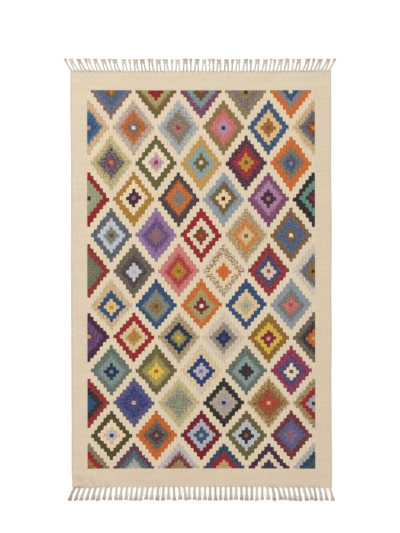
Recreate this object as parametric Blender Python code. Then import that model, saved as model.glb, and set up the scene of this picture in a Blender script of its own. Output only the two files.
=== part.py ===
"""Kilim rug: one flat woven body and, at each short end, a band with its fringe.

Metres, +Z up. X runs across the rug, from selvedge to selvedge, and +Y runs along it
towards the end with the finer fringe. The origin is in the middle of the body's underside,
which lies flat at Z = 0 as the fringes do.
"""
import math
import random
from collections import namedtuple

import bmesh
import bpy

# ---- the woven cloth ----
BODY_WIDTH = 1.524
BODY_LENGTH = 2.432  # woven length, with the two end bands
CLOTH_THICKNESS = 0.0040
SWELL = 0.0003  # how far the weave's height wanders either way
CORNER_BOW = 0.003  # how far the two corners of an end stand past its middle
GAP = 0.0003  # between the body and an end band

# ---- the overcast selvedge along each long edge ----
SELVEDGE_WIDTH = 0.010
SELVEDGE_RISE = 0.0009
SELVEDGE_START = 0.15  # how far round its rounded ridge the rim itself lies

# ---- the band of twined wefts that closes each end ----
BAND_DEPTH = 0.010
BAND_RISE = 0.0008

# ---- how finely the body's two faces are divided ----
ACROSS_STEPS = 18
ALONG_STEPS = 32

# The slow waves that make up the swell: radians per metre across and along the rug, where the
# wave starts and its part in the whole.
Wave = namedtuple("Wave", "across along start part")
WAVES = (
    Wave(+5.1, 2.3, 0.0, 0.5),
    Wave(-3.1, 9.7, 1.0, 0.3),
    Wave(+13.0, 0.0, 0.7, 0.2),
)

# How far each long edge stands outside its straight line, in metres, by the share of the
# length from the far end.
Edge = namedtuple("Edge", "share left right")
EDGES = (
    Edge(0.00, +0.0042, -0.0025),
    Edge(0.09, +0.0042, -0.0020),
    Edge(0.15, +0.0022, -0.0015),
    Edge(0.23, +0.0003, -0.0026),
    Edge(0.38, +0.0003, +0.0010),
    Edge(0.46, +0.0010, -0.0002),
    Edge(0.54, -0.0004, -0.0013),
    Edge(0.64, -0.0015, +0.0013),
    Edge(0.74, -0.0028, -0.0013),
    Edge(0.86, -0.0043, +0.0008),
    Edge(0.95, -0.0040, +0.0026),
    Edge(1.00, -0.0082, +0.0018),
)

# How far a strand's tip lies to the right of its root, in metres, by the strand's share of
# the width from the left.
Lean = namedtuple("Lean", "share shift")
FAR_LEANS = (
    Lean(0.00, -0.040),
    Lean(0.05, -0.034),
    Lean(0.10, -0.026),
    Lean(0.17, -0.021),
    Lean(0.22, -0.010),
    Lean(0.36, -0.008),
    Lean(0.42, +0.002),
    Lean(0.68, +0.004),
    Lean(0.74, +0.009),
    Lean(0.84, +0.012),
    Lean(0.90, +0.018),
    Lean(0.94, +0.029),
    Lean(1.00, +0.034),
)
NEAR_LEANS = (
    Lean(0.00, -0.034),
    Lean(0.07, -0.024),
    Lean(0.12, -0.018),
    Lean(0.18, -0.006),
    Lean(0.29, -0.013),
    Lean(0.38, +0.000),
    Lean(0.43, +0.011),
    Lean(0.47, +0.000),
    Lean(0.73, +0.001),
    Lean(0.80, +0.019),
    Lean(0.86, +0.013),
    Lean(0.90, +0.021),
    Lean(0.95, +0.012),
    Lean(1.00, +0.023),
)

# A strand's section by the share of its length: its width and height, in metres. The
# section's top is TOP_SHARE of its width.
Section = namedtuple("Section", "share width height")
FAR_STRAND = (
    Section(0.10, 0.0062, 0.0042),
    Section(0.50, 0.0062, 0.0040),
    Section(0.66, 0.0096, 0.0064),
    Section(0.82, 0.0092, 0.0056),
    Section(1.00, 0.0096, 0.0036),
)
NEAR_STRAND = (
    Section(0.10, 0.0092, 0.0050),
    Section(0.52, 0.0092, 0.0048),
    Section(0.64, 0.0150, 0.0080),
    Section(0.78, 0.0140, 0.0068),
    Section(1.00, 0.0172, 0.0044),
)
TOP_SHARE = 0.62
ROOT_BEND = 0.3  # how much sooner than its length a strand runs out to the side

# A fringe: its side of the rug, how many strands it has, how far the first and the last root
# stand in from the band's corners, the strands' mean length and how far that wanders, how many
# neighbours share a knot (repeated along the edge), how far a group's lean wanders, the leans
# and the sections.
Fringe = namedtuple(
    "Fringe", "side strands first_inset last_inset length ragged groups stray leans sections"
)
FAR_FRINGE = Fringe(
    side=+1,
    strands=70,
    first_inset=0.006,
    last_inset=0.012,
    length=0.0715,
    ragged=0.0030,
    groups=(1, 2, 2, 1, 1, 2, 2, 1, 2, 2),
    stray=0.0035,
    leans=FAR_LEANS,
    sections=FAR_STRAND,
)
NEAR_FRINGE = Fringe(
    side=-1,
    strands=50,
    first_inset=0.016,
    last_inset=0.013,
    length=0.0815,
    ragged=0.0030,
    groups=(1,),
    stray=0.0025,
    leans=NEAR_LEANS,
    sections=NEAR_STRAND,
)
TIP_CLEARANCE = 0.0009  # the least room between two neighbouring tips
FRINGE_SEED = 7

CREAM = (0.72, 0.62, 0.46)
STRAND_BEIGE = (0.60, 0.54, 0.43)


def clear_scene():
    for old in list(bpy.data.objects):
        bpy.data.objects.remove(old, do_unlink=True)


def make_material(name, colour, roughness):
    material = bpy.data.materials.new(name)
    material.use_nodes = True
    shader = material.node_tree.nodes["Principled BSDF"]
    shader.inputs["Base Color"].default_value = (*colour, 1.0)
    shader.inputs["Roughness"].default_value = roughness
    shader.inputs["Metallic"].default_value = 0.0
    return material


def add_object(name, bm, material):
    bmesh.ops.recalc_face_normals(bm, faces=bm.faces)
    mesh = bpy.data.meshes.new(name)
    bm.to_mesh(mesh)
    bm.free()
    mesh.materials.append(material)
    made = bpy.data.objects.new(name, mesh)
    bpy.context.scene.collection.objects.link(made)
    return made


def read_table(rows, column, share):
    """The column's value at this share, turning smoothly from row to row."""
    share = min(max(share, rows[0].share), rows[-1].share)
    for before, after in zip(rows, rows[1:]):
        if share <= after.share:
            way = (share - before.share) / (after.share - before.share)
            way = way * way * (3 - 2 * way)
            start, end = getattr(before, column), getattr(after, column)
            return start + (end - start) * way
    return getattr(rows[-1], column)


def edge_x(y, side):
    """Where the left (side -1) or right (side +1) edge lies at this y."""
    share = 0.5 - y / BODY_LENGTH
    column = "left" if side < 0 else "right"
    return side * (BODY_WIDTH / 2 + read_table(EDGES, column, share))


def bow(x):
    """How far an end stands out at this x: nothing in the middle, most at the corners."""
    return CORNER_BOW * (2 * x / BODY_WIDTH) ** 4


def end_y(x, side):
    """Where the far (side +1) or near (side -1) end lies at this x."""
    return side * (BODY_LENGTH / 2 + bow(x))


def swell(x, y):
    """The slow rise and fall of the weave's height."""
    waves = (
        wave.part * math.sin(wave.across * x + wave.along * y + wave.start) for wave in WAVES
    )
    return SWELL * sum(waves)


def column_shares():
    """Shares of the width: the selvedge's own steps, then even ones between them."""
    selvedge = SELVEDGE_WIDTH / BODY_WIDTH
    rim = [0.0, 0.3 * selvedge, 0.7 * selvedge, selvedge]
    inner = [
        selvedge + (1 - 2 * selvedge) * step / ACROSS_STEPS for step in range(1, ACROSS_STEPS)
    ]
    return rim + inner + [1 - share for share in reversed(rim)]


def selvedge_rise(share):
    """The rounded ridge of the overcast edge, lower at the rim itself."""
    from_edge = min(share, 1 - share) * BODY_WIDTH
    if from_edge >= SELVEDGE_WIDTH:
        return 0.0
    way = SELVEDGE_START + (1 - SELVEDGE_START) * from_edge / SELVEDGE_WIDTH
    return SELVEDGE_RISE * math.sin(math.pi * way)


def body_rows():
    """The body's vertices as (x, y, top z), row by row from the far end."""
    inner_end = BODY_LENGTH / 2 - BAND_DEPTH - GAP
    rows = []
    for step in range(ALONG_STEPS + 1):
        y_middle = inner_end * (1 - 2 * step / ALONG_STEPS)
        left, right = edge_x(y_middle, -1), edge_x(y_middle, +1)
        row = []
        for share in column_shares():
            x = left + (right - left) * share
            y = y_middle * (1 + bow(x) / inner_end)
            row.append((x, y, CLOTH_THICKNESS + swell(x, y) + selvedge_rise(share)))
        rows.append(row)
    return rows


def make_body(material):
    """One flat closed cloth, its underside level and its top gently uneven."""
    bm = bmesh.new()
    rows = body_rows()
    top = [[bm.verts.new(spot) for spot in row] for row in rows]
    under = [[bm.verts.new((x, y, 0.0)) for x, y, _ in row] for row in rows]
    for grid in (top, under):
        for row, after in zip(grid, grid[1:]):
            for i in range(len(row) - 1):
                bm.faces.new((row[i], row[i + 1], after[i + 1], after[i]))
    walls = list(zip(outline_of(top), outline_of(under)))
    for (top_a, under_a), (top_b, under_b) in zip(walls, walls[1:] + walls[:1]):
        bm.faces.new((top_a, top_b, under_b, under_a))
    return add_object("rug_body", bm, material)


def outline_of(grid):
    """The grid's outer vertices in order, once round."""
    first, last = grid[0], grid[-1]
    right = [row[-1] for row in grid[1:-1]]
    left = [row[0] for row in grid[1:-1]]
    return first + right + last[::-1] + left[::-1]


def strand_tips(fringe, roots, chance):
    """The x of each strand's tip: neighbours of one group draw together and lean as one."""
    width = fringe.sections[-1].width
    tips, first, turn = [], 0, 0
    while first < len(roots):
        size = min(fringe.groups[turn % len(fringe.groups)], len(roots) - first)
        group = roots[first : first + size]
        middle = sum(group) / size
        share = 0.5 + middle / BODY_WIDTH
        lean = read_table(fringe.leans, "shift", share) + chance.uniform(-1, 1) * fringe.stray
        spacing = width + TIP_CLEARANCE
        for place in range(size):
            tips.append(middle + lean + (place - (size - 1) / 2) * spacing)
        first += size
        turn += 1
    return spread_tips(tips, width + TIP_CLEARANCE)


def spread_tips(tips, room):
    """The same tips, pushed apart evenly where two would come closer than the room."""
    tips = list(tips)
    for _ in range(60):
        for i in range(len(tips) - 1):
            lack = room - (tips[i + 1] - tips[i])
            if lack > 0:
                tips[i] -= lack / 2
                tips[i + 1] += lack / 2
    return tips


def strand_roots(fringe):
    """The x of each strand's root, evenly spaced along the end."""
    y_outer = fringe.side * BODY_LENGTH / 2
    first = edge_x(y_outer, -1) + fringe.first_inset
    last = edge_x(y_outer, +1) - fringe.last_inset
    pitch = (last - first) / (fringe.strands - 1)
    return [first + pitch * k for k in range(fringe.strands)]


def make_band(bm, fringe, roots):
    """The end band, open where each strand grows out, and the ring of each opening."""
    y_outer = fringe.side * BODY_LENGTH / 2
    half = fringe.sections[0].width / 2
    stations = [edge_x(y_outer, -1)]
    for root in roots:
        stations += [root - half, root + half]
    stations.append(edge_x(y_outer, +1))
    ribs = [band_rib(bm, x, fringe.side) for x in stations]
    bm.faces.new(ribs[0])
    bm.faces.new(ribs[-1])
    rings = []
    for i, (rib, after) in enumerate(zip(ribs, ribs[1:])):
        for a, b in ((0, 1), (1, 2), (3, 0)):
            bm.faces.new((rib[a], rib[b], after[b], after[a]))
        if i % 2 == 0:
            bm.faces.new((rib[2], rib[3], after[3], after[2]))
        else:
            rings.append([rib[3], after[3], after[2], rib[2]])
    return rings


def make_fringe(name, fringe, material):
    """The end band and the strands that grow from its outer face, one closed solid."""
    chance = random.Random(FRINGE_SEED + fringe.strands)
    bm = bmesh.new()
    roots = strand_roots(fringe)
    rings = make_band(bm, fringe, roots)
    tips = strand_tips(fringe, roots, chance)
    for ring, root, tip in zip(rings, roots, tips):
        length = fringe.length + chance.uniform(-1, 1) * fringe.ragged
        add_strand(bm, ring, root, tip, length, fringe)
    return add_object(name, bm, material)


def band_rib(bm, x, side):
    """The band's section at this x: inner foot, inner top, outer top, outer foot."""
    outer = end_y(x, side)
    inner = outer - side * BAND_DEPTH
    return [
        bm.verts.new((x, inner, 0.0)),
        bm.verts.new((x, inner, CLOTH_THICKNESS)),
        bm.verts.new((x, outer, CLOTH_THICKNESS + BAND_RISE)),
        bm.verts.new((x, outer, 0.0)),
    ]


def add_strand(bm, ring, root_x, tip_x, length, fringe):
    """A four-sided strand that lies level on the floor, from its root ring to its tip."""
    root_y = end_y(root_x, fringe.side)
    for section in fringe.sections:
        way = section.share * (1 + ROOT_BEND * (1 - section.share))
        x = root_x + (tip_x - root_x) * way
        y = root_y + fringe.side * length * section.share
        half, top = section.width / 2, section.width / 2 * TOP_SHARE
        ahead = [
            bm.verts.new((x - half, y, 0.0)),
            bm.verts.new((x + half, y, 0.0)),
            bm.verts.new((x + top, y, section.height)),
            bm.verts.new((x - top, y, section.height)),
        ]
        for i in range(4):
            bm.faces.new((ring[i], ring[i - 1], ahead[i - 1], ahead[i]))
        ring = ahead
    bm.faces.new(ring)


def main():
    clear_scene()
    weave = make_material("weave", CREAM, 0.95)
    warp = make_material("warp_cord", STRAND_BEIGE, 0.9)
    make_body(weave)
    make_fringe("fringe_far", FAR_FRINGE, warp)
    make_fringe("fringe_near", NEAR_FRINGE, warp)


main()
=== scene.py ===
"""Kilim rug: the woven cloth with its stepped diamonds, and the knotted fringe at each end.

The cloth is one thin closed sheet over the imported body. Its diamonds are worked out in the
material from a small chart of named yarns: each face knows how many cells it lies from the
middle of its diamond. Each fringe is plied cords, knots and brushed ends that follow the packed
strands, with the twined cord that locks the end of the weave. Metres, +Z up, +Y to the far end.
"""
import math
import random
from collections import namedtuple

import bpy
import numpy as np
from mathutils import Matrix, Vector


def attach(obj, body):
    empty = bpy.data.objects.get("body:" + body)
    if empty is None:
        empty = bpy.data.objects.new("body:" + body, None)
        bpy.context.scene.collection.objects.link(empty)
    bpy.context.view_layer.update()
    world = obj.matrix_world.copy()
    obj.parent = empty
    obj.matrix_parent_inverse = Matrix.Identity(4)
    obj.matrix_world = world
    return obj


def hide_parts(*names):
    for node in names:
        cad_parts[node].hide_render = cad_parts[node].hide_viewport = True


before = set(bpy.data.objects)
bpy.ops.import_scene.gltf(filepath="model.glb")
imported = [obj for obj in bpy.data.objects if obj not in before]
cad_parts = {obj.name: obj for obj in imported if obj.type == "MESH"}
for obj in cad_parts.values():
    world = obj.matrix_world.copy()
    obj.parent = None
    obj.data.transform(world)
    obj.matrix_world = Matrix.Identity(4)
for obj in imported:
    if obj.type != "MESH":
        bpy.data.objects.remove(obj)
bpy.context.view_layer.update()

# ---- the woven cloth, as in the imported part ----
BODY_WIDTH = 1.524
BODY_LENGTH = 2.432
CLOTH_THICKNESS = 0.0040
SWELL = 0.0003
CORNER_BOW = 0.003

Wave = namedtuple("Wave", "across along start part")
WAVES = (
    Wave(+5.1, 2.3, 0.0, 0.5),
    Wave(-3.1, 9.7, 1.0, 0.3),
    Wave(+13.0, 0.0, 0.7, 0.2),
)

# How far each long edge stands outside its straight line, by the share from the far end.
Edge = namedtuple("Edge", "share left right")
EDGES = (
    Edge(0.00, +0.0042, -0.0025),
    Edge(0.09, +0.0042, -0.0020),
    Edge(0.15, +0.0022, -0.0015),
    Edge(0.23, +0.0003, -0.0026),
    Edge(0.38, +0.0003, +0.0010),
    Edge(0.46, +0.0010, -0.0002),
    Edge(0.54, -0.0004, -0.0013),
    Edge(0.64, -0.0015, +0.0013),
    Edge(0.74, -0.0028, -0.0013),
    Edge(0.86, -0.0043, +0.0008),
    Edge(0.95, -0.0040, +0.0026),
    Edge(1.00, -0.0082, +0.0018),
)

# ---- the overcast selvedge: a rounded cord along each long edge ----
SELVEDGE_WIDTH = 0.0100
SELVEDGE_TOP = 0.0050
SELVEDGE_DIP = 0.0004  # how much lower the weave lies right beside its cord
SELVEDGE_STEPS = (0.0, 0.0005, 0.0016, 0.0034, 0.0056, 0.0076, 0.0092, 0.0104, 0.0124)
END_STEPS = (0.0, 0.0008, 0.0026, 0.0052, 0.0078, 0.0104)
END_RISE, END_SETTLE = 3, 4  # how soon the top and the underside level out, in from an end
RIM_LOW, RIM_HIGH = 0.0016, 0.0030  # the closed edge's lowest and highest point

# ---- the field and its diamonds ----
CELL_WIDTH = 0.01812
HALF_FIELD = 36.75  # cells from the field's middle line to its side
HALF_PITCH = 7.25  # cells between a diamond's middle line and the next row's
FIELD_FAR, FIELD_NEAR = -0.24, 95.52  # where the field starts and ends, in cells down from row 0
ROW_PITCH = 26 / 3  # cells between two rows of diamonds
FIELD_MIDDLE = (-0.0016, +0.0019)  # the field's middle line at the far and at the near end
COLUMN_STEP = 0.5
BORDER_COLUMNS, BORDER_ROWS = 9, 13
OFF_CHART = 99.0  # the cells from a diamond's middle that stand for outside the field

# Each row of diamonds: its middle's y, how much it climbs to the right, and how many cells its
# inner rings sit below the middle.
Row = namedtuple("Row", "y climb sink")
ROWS = (
    Row(+1.0967, 0.0, 0.0),
    Row(+0.8851, 0.0, -0.1),
    Row(+0.6758, 0.0, -0.2),
    Row(+0.4642, 0.0, -0.4),
    Row(+0.2549, 0.0, 0.0),
    Row(+0.0474, 0.001, +0.1),
    Row(-0.1540, 0.0080, +0.2),
    Row(-0.3414, -0.0062, 0.0),
    Row(-0.5355, 0.0, +0.2),
    Row(-0.7243, 0.0, 0.0),
    Row(-0.9149, 0.0, -0.1),
    Row(-1.1043, 0.0, -0.15),
)

# A ring of a diamond: the most cells from the middle that it fills, how much narrower and lower
# than whole cells its steps are, and how far it sits below the middle.
Ring = namedtuple("Ring", "reach narrow squeeze drop")
RINGS = (
    Ring(6, 0.98, 0.99, 0.00),
    Ring(4, 1.00, 1.07, 0.05),
    Ring(2, 1.00, 1.12, 0.12),
    Ring(0, 0.78, 1.05, 0.10),
)

# ---- the dyes, in sRGB from 0 to 255 ----
DYES = {
    "red": (150, 35, 40), "scarlet": (185, 45, 50), "crimson": (157, 33, 46),
    "wine": (120, 40, 55), "rose": (220, 110, 110), "dusty": (165, 120, 115),
    "brick": (180, 65, 40), "rust": (160, 80, 50), "orange": (216, 107, 37),
    "amber": (220, 135, 55), "apricot": (245, 200, 135), "gold": (195, 135, 45),
    "lemon": (235, 190, 72), "khaki": (148, 116, 68), "tan": (205, 165, 120),
    "olive": (105, 95, 55), "lime": (178, 162, 88), "sage": (140, 148, 112),
    "sea": (105, 142, 148), "jade": (105, 150, 130), "pine": (100, 115, 105),
    "sky": (155, 170, 180), "slate": (95, 100, 115), "blue": (50, 80, 120),
    "navy": (40, 58, 105), "azure": (60, 100, 150), "royal": (42, 58, 128),
    "lavender": (165, 165, 190), "violet": (85, 80, 135), "purple": (105, 65, 125),
    "orchid": (160, 125, 175), "lilac": (180, 130, 170), "magenta": (152, 42, 85),
    "plum": (125, 65, 105), "mauve": (135, 110, 120), "brown": (125, 90, 65),
    "grey": (135, 120, 105), "ash": (125, 125, 115), "silver": (206, 209, 214),
    "cream": (240, 220, 190), "black": (48, 42, 42),
}
UNDYED = (240, 220, 190)

# How deep a dye takes: the share of undyed wool in the yarn, and how dark the dyed wool is.
Depth = namedtuple("Depth", "undyed dark")
DEPTHS = {
    "faint": Depth(0.78, 1.00),
    "pale": Depth(0.50, 1.00),
    "light": Depth(0.25, 1.00),
    "full": Depth(0.00, 1.00),
    "deep": Depth(0.00, 0.80),
    "dark": Depth(0.00, 0.58),
}

# How a yarn is spun and woven: how dark its dyed wool is, how far its fleck goes towards undyed
# wool, the fleck's share, and how far its steps fray, in cells, inside a diamond and at its rim.
Spin = namedtuple("Spin", "dark fleck share fray rim")
SPINS = {
    "": Spin(0.97, 0.12, 0.38, 0.4, 0.4),
    "~": Spin(0.91, 0.22, 0.45, 2.8, 0.8),  # heathered
    "*": Spin(0.92, 0.50, 0.50, 4.0, 2.6),  # dissolving into its neighbours
    "%": Spin(0.90, 0.97, 0.48, 1.0, 1.0),  # sparse flecks on undyed wool
}
OUTER_FRAY = 0.3  # how much of a ring's own fray shows where the next ring starts
BATCH = 0.05  # how much darker or lighter one batch of a yarn comes out
BATCH_SEED, STEP_SEED, STEP_SEEDS = 3, 5, (1, 50)

# The diamonds, a line each, row by row from the far end and left to right: the yarns of the outer
# ring, the second, the third and the heart. A yarn's last mark is its spin.
CHART = """
mauve~ azure~ olive~ orange
deep_khaki light_lime~ red red
plum~ light_sea~ deep_brown rust
light_olive~ mauve~ deep_lime~ dark_plum
orange light_slate~ blue cream

light_tan azure~ blue light_rose
pale_mauve* orange~ deep_dusty~ cream
sky* grey~ dusty~ crimson
khaki~ rose~ light_lilac~ dark_violet
blue~ light_apricot deep_amber brown
tan* slate~ deep_rust~ amber

light_lime* dark_slate* plum~ gold
olive cream light_lilac~ magenta
light_gold~ light_sea olive cream
dark_plum~ crimson~ gold brown
orange grey~ blue~ dusty

red light_sage light_sage~ black
gold~ faint_apricot dark_plum mauve
dark_mauve orange~ grey~ light_slate
sky~ deep_khaki~ pale_apricot black
plum~ lilac~ dark_plum grey
black jade dark_plum red

slate~ silver ash~ deep_rust
orchid~ purple~ mauve~ deep_rose
red cream deep_rust deep_orange
light_khaki* amber~ light_apricot~ brown
brown~ azure~ brown cream

red~ deep_sage~ deep_sage~ khaki
deep_grey~ dark_mauve~ silver pale_sky
light_rose scarlet~ gold~ deep_gold
khaki% faint_apricot orange orange
red~ deep_violet~ cream deep_rose
faint_lavender* slate~ deep_gold~ black

light_tan* blue apricot amber
blue light_pine~ khaki~ deep_rust
orange~ light_lime~ wine cream
blue pale_apricot pale_sage~ light_sage
sky~ ash~ rose~ deep_rose

dark_plum purple~ deep_plum~ tan
red pale_apricot gold~ gold~
deep_tan* dark_blue lime~ lemon
faint_lavender* light_grey deep_navy blue
deep_gold~ lemon wine light_rose
deep_grey~ black~ orange tan

pine~ light_sea~ dark_blue sea
olive~ lime~ lemon deep_amber
faint_apricot navy light_lavender deep_lilac
pine~ light_sea~ black dark_plum
magenta~ deep_violet~ cream deep_rust

crimson~ black blue blue
violet~ royal~ deep_violet~ pale_lavender
light_lime* ash* sage~ light_jade~
black pale_grey light_lavender~ black
deep_gold* rust~ brick pale_rose
khaki* red deep_silver black

deep_olive faint_apricot pale_lavender royal
orange deep_grey~ dark_plum~ khaki
deep_crimson light_lavender blue light_sage
olive silver black rust
wine~ light_royal light_purple~ light_magenta

light_olive~ red deep_amber~ deep_gold
deep_plum~ deep_sea~ pale_lavender~ pale_lavender
light_lavender* wine~ light_khaki light_khaki
deep_blue~ crimson tan tan
dark_plum cream dark_slate dark_slate
light_lavender* deep_blue dark_sea dark_sea
"""

BORDER_CREAM = (220, 204, 178)
NEAR_CREAM = (224, 203, 175)
GROUND_CREAM = (228, 208, 178)
ROSY_CREAM = (222, 198, 172)
GREEN_CREAM = (216, 206, 172)
PALE_FLECK = (236, 224, 202)
# A darker grey painted along the selvedge cord as its shade.
SELVEDGE_SHADE_GREY = (196, 188, 168)


def linear(colour):
    """An sRGB colour, 0 to 255, as the linear one that Blender works in."""
    shares = [value / 255 for value in colour]
    return tuple(s / 12.92 if s <= 0.04045 else ((s + 0.055) / 1.055) ** 2.4 for s in shares)


def mixed(first, second, share):
    """Two colours mixed by a share."""
    return tuple(a + (b - a) * share for a, b in zip(first, second))


Yarn = namedtuple("Yarn", "base fleck mottle fray rim")


def spin_yarn(name, chance):
    """The yarn that the chart names: its colour, its fleck's colour and the fleck's share."""
    plain = name.rstrip("~*%")
    spin = SPINS[name[len(plain) :]]
    depth, _, dye = plain.rpartition("_")
    depth = DEPTHS[depth or "full"]
    batch = depth.dark * spin.dark * chance.uniform(1 - BATCH, 1 + BATCH)
    dyed = mixed(DYES[dye], UNDYED, depth.undyed)
    base = tuple(min(value * batch, 255) for value in dyed)
    return Yarn(base, mixed(base, UNDYED, spin.fleck), spin.share, spin.fray, spin.rim)


def read_table(rows, column, share):
    """The column's value at this share, turning smoothly from row to row."""
    share = min(max(share, rows[0].share), rows[-1].share)
    for before, after in zip(rows, rows[1:]):
        if share <= after.share:
            way = (share - before.share) / (after.share - before.share)
            way = way * way * (3 - 2 * way)
            start, end = getattr(before, column), getattr(after, column)
            return start + (end - start) * way


def edge_x(y, side):
    """Where the left (side -1) or right (side +1) edge lies at this y."""
    share = 0.5 - y / BODY_LENGTH
    column = "left" if side < 0 else "right"
    return side * (BODY_WIDTH / 2 + read_table(EDGES, column, share))


def bow(x):
    """How far an end stands out at this x: nothing in the middle, most at the corners."""
    return CORNER_BOW * (2 * x / BODY_WIDTH) ** 4


def end_y(x, side):
    """Where the far (side +1) or near (side -1) end lies at this x."""
    return side * (BODY_LENGTH / 2 + bow(x))


def swell(x, y):
    """The slow rise and fall of the weave's height."""
    return SWELL * sum(
        wave.part * np.sin(wave.across * x + wave.along * y + wave.start) for wave in WAVES
    )


# ---- the cloth's mesh ----


def row_value(down, column):
    """A row's value this many cells down from row 0, also past the first and last rows."""
    values = [getattr(row, column) for row in ROWS]
    at = down / ROW_PITCH
    before = min(max(int(math.floor(at)), 0), len(ROWS) - 2)
    return values[before] + (values[before + 1] - values[before]) * (at - before)


def field_middle(y):
    """The x of the field's middle line at this y."""
    share = 0.5 - y / BODY_LENGTH
    return FIELD_MIDDLE[0] + (FIELD_MIDDLE[1] - FIELD_MIDDLE[0]) * share


def side_lines(edge, side, insets, start, count):
    """Lines from one edge inwards to the field's start: each one's place, and its inset."""
    rim = [(edge - side * inset, inset) for inset in insets]
    inner = rim[-1][0]
    return rim + [(inner + (start - inner) * k / count, None) for k in range(1, count)]


def down_lines():
    """The mesh's rows from the far end: each one's y, its climb, its cells down and its inset."""
    steps = round((FIELD_NEAR - FIELD_FAR) / COLUMN_STEP)
    cells = np.linspace(FIELD_FAR, FIELD_NEAR, steps + 1)
    field = [(row_value(down, "y"), row_value(down, "climb"), down, None) for down in cells]
    lines = []
    for side, start in ((+1, field[0][0]), (-1, field[-1][0])):
        outer = side_lines(side * BODY_LENGTH / 2, side, END_STEPS, start, BORDER_ROWS)
        lines.append([(y, 0.0, None, inset) for y, inset in outer])
    return lines[0] + field + lines[1][::-1]


def across_lines(y):
    """The mesh's columns at this y: each one's x, its cells from the middle and its inset."""
    middle = field_middle(y)
    steps = round(2 * HALF_FIELD / COLUMN_STEP)
    cells = np.linspace(-HALF_FIELD, HALF_FIELD, steps + 1)
    field = [(middle + CELL_WIDTH * across, across, None) for across in cells]
    lines = []
    for side, start in ((-1, field[0][0]), (+1, field[-1][0])):
        outer = side_lines(edge_x(y, side), side, SELVEDGE_STEPS, start, BORDER_COLUMNS)
        lines.append([(x, None, inset) for x, inset in outer])
    return lines[0] + field + lines[1][::-1]


def cord_section(inset):
    """The top and underside of the selvedge's rounded cord this far in from the rim."""
    if inset <= 0.0:
        return RIM_HIGH, RIM_LOW
    half, middle = SELVEDGE_WIDTH / 2, SELVEDGE_TOP / 2
    round_part = middle * math.sqrt(max(0.0, 1 - ((inset - half) / half) ** 2))
    top = middle + round_part
    under = middle - round_part if inset < half else 0.0
    if inset > half:
        top = max(top, CLOTH_THICKNESS - SELVEDGE_DIP)
    if inset > SELVEDGE_WIDTH:
        top = CLOTH_THICKNESS
    return max(top, RIM_HIGH), min(under, RIM_LOW)


def end_section(inset):
    """The top and underside of the weave this far in from an end, under its twined cord."""
    way = min(inset / END_STEPS[-1], 1.0)
    top = RIM_HIGH + (CLOTH_THICKNESS - RIM_HIGH) * min(1.0, way * END_RISE)
    under = RIM_LOW * max(0.0, 1 - way * END_SETTLE)
    return top, under


# Soft creases: from one point to the other, how high and how wide, and how much painted shade
# darkens them.
Crease = namedtuple("Crease", "x0 y0 x1 y1 height width soil")
CREASE_FADE, CREASE_LEAST = 0.02, 0.2  # from this near to a long edge, creases lie flatter
CREASES = (
    Crease(-0.735, -1.120, -0.640, -1.185, 0.0032, 0.010, 0.00),
    Crease(-0.742, -1.150, -0.665, -1.205, 0.0026, 0.009, 0.06),
    Crease(-0.722, -1.158, -0.700, -1.172, 0.0000, 0.012, 0.10),
    Crease(-0.648, -1.166, -0.628, -1.194, -0.0008, 0.008, 0.12),
    Crease(-0.560, -1.190, -0.545, -1.204, -0.0006, 0.008, 0.08),
    Crease(-0.700, -1.110, -0.600, -1.165, 0.0015, 0.009, 0.00),
    Crease(-0.387, -1.176, -0.299, -1.196, -0.0010, 0.007, 0.05),
    Crease(-0.299, -1.196, -0.223, -1.199, -0.0007, 0.007, 0.04),
    Crease(-0.066, -1.160, -0.064, -1.212, -0.0008, 0.006, 0.06),
    Crease(-0.120, -1.150, -0.060, -1.168, 0.0011, 0.010, 0.00),
    Crease(-0.060, -1.168, -0.010, -1.152, 0.0009, 0.010, 0.00),
    Crease(-0.030, +1.200, +0.030, +1.165, 0.0013, 0.008, 0.00),
    Crease(-0.004, +1.196, +0.034, +1.160, -0.0009, 0.007, 0.03),
    Crease(+0.158, +1.180, +0.164, +1.178, 0.0000, 0.006, 0.14),
    Crease(+0.680, +0.700, +0.745, +0.660, 0.0009, 0.010, 0.00),
    Crease(-0.745, +0.876, -0.690, +0.876, -0.0009, 0.009, 0.03),
    Crease(-0.745, +0.472, -0.690, +0.473, -0.0009, 0.009, 0.03),
)


def crease_fields(x, y):
    """How far the creases lift the weave at these points, and how much painted shade darkens it
    there.
    """
    lift, soil = np.zeros_like(x), np.zeros_like(x)
    for crease in CREASES:
        dx, dy = crease.x1 - crease.x0, crease.y1 - crease.y0
        length = math.hypot(dx, dy)
        way = ((x - crease.x0) * dx + (y - crease.y0) * dy) / length**2
        inside = np.clip(way, 0.0, 1.0)
        gap = np.hypot(x - crease.x0 - dx * inside, y - crease.y0 - dy * inside)
        near = np.exp(-((gap / crease.width) ** 2))
        lift += crease.height * near
        soil += crease.soil * near
    return lift, soil


def cloth_points():
    """The grid's x, y, top and underside, the creases' painted shade, and the cells of each line
    where it has them.
    """
    downs = down_lines()
    columns = [across_lines(y) for y, _, _, _ in downs]
    x = np.array([[column[0] for column in row] for row in columns])
    y = np.zeros_like(x)
    top = np.full_like(x, CLOTH_THICKNESS)
    under = np.zeros_like(x)
    for r, (line_y, climb, _, end_inset) in enumerate(downs):
        y[r] = line_y * (1 + bow(x[r]) / (BODY_LENGTH / 2)) + climb * x[r]
        if end_inset is not None:
            top[r], under[r] = end_section(end_inset)
    for c, (_, _, inset) in enumerate(columns[0]):
        if inset is not None:
            cord_top, cord_under = cord_section(inset)
            top[:, c] = np.where(inset <= 0, np.minimum(top[:, c], cord_top), cord_top)
            under[:, c] = np.maximum(under[:, c], cord_under)
    flat = (BODY_WIDTH / 2 - np.abs(x)) / CREASE_FADE
    lift, soil = crease_fields(x, y)
    top += swell(x, y) + lift * np.clip(flat, CREASE_LEAST, 1.0)
    return x, y, top, under, soil, downs, columns[0]


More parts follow.
